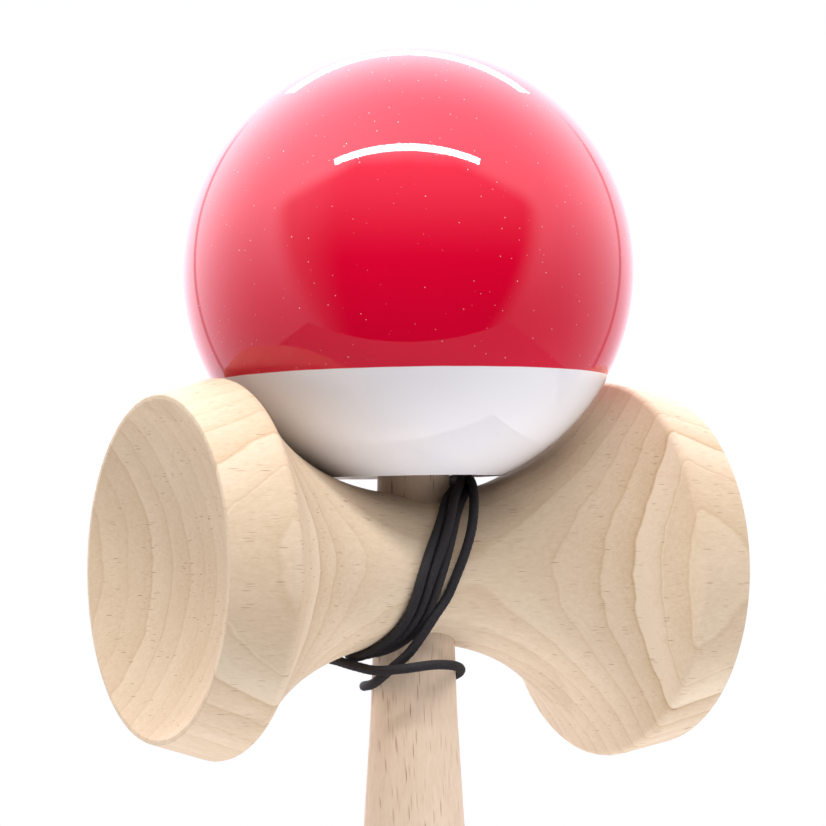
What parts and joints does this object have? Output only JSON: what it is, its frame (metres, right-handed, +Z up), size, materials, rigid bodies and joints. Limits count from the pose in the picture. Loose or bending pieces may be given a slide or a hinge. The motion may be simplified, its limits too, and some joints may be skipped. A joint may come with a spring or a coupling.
{
  "type": "kendama",
  "caption": "Wooden cup-and-ball toy: a turned handle with spike and base cup, a cross-piece with two cups, and a lacquered bored ball on a wound string.",
  "frame": {"origin": "centre of the base rim, on the plane that the toy stands on", "axes": "+Z up the handle to the spike, +X along the cross-piece to the big cup, -Y to the front, where the string's turns slant down to the small cup"},
  "size_m": [0.074, 0.0612, 0.1847],
  "materials": {
    "beech": "fine-sanded, clear satin",
    "red_lacquered_wood": "gloss lacquer, red above and white round the mouth",
    "black_string": "braided, matt"
  },
  "bodies": {
    "ken": {"ken_handle": "beech", "sarado_cross_piece": "beech", "string_anchor": "black_string", "string_winding": "black_string"},
    "bead": {"swivel_bead": "beech", "string_lead": "black_string", "string_tail": "black_string"},
    "tama": {"tama_ball": "red_lacquered_wood"}
  },
  "joints": [
    {"name": "tama_lift", "type": "slide", "parent": "ken", "child": "bead", "axis": [0, 0, 1], "range_m": [0, 0.05], "deforming": ["string_lead"]},
    {"name": "tama_spin", "type": "hinge", "parent": "bead", "child": "tama", "pos_m": [-0.0008, 0, 0.17], "axis": [0, 0, 1], "continuous": true}
  ]
}
